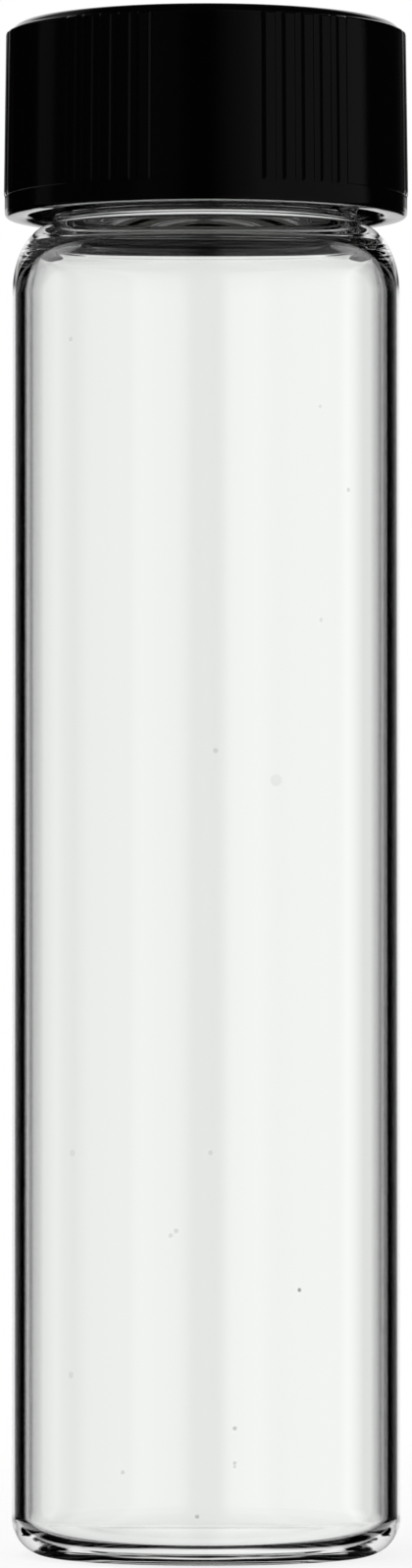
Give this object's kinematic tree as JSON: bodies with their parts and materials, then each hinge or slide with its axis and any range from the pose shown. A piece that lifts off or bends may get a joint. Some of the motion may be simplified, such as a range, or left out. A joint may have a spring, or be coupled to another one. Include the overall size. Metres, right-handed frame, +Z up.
{
  "type": "glass sample vial",
  "caption": "Clear glass screw-thread sample vial with a rounded shoulder and heel, closed by a black ribbed screw cap with a sealing liner.",
  "frame": {"origin": "centre of the ring that the vial stands on, at the bottom of the glass", "axes": "+Z up along the vial's axis, towards the cap; -Y is the front"},
  "size_m": [0.0232, 0.023, 0.0878],
  "materials": {
    "clear_glass": "fire-polished clear borosilicate glass",
    "black_phenolic": "glossy black moulded phenolic",
    "liner_foam": "off-white closed-cell polyethylene foam"
  },
  "bodies": {
    "vial": {"vial": "clear_glass"},
    "liner": {"cap_liner": "liner_foam"},
    "cap": {"screw_cap": "black_phenolic"}
  },
  "joints": [
    {"name": "cap_rise", "type": "slide", "parent": "vial", "child": "liner", "axis": [0, 0, 1], "range_m": [0, 0.00953]},
    {"name": "cap_turn", "type": "hinge", "parent": "liner", "child": "cap", "pos_m": [0, 0, 0.082], "axis": [0, 0, 1], "range_deg": [0, 1080]}
  ],
  "couplings": [
    {"joint": "cap_rise", "follows": "cap_turn", "m_per_rad": 0.00050532}
  ]
}
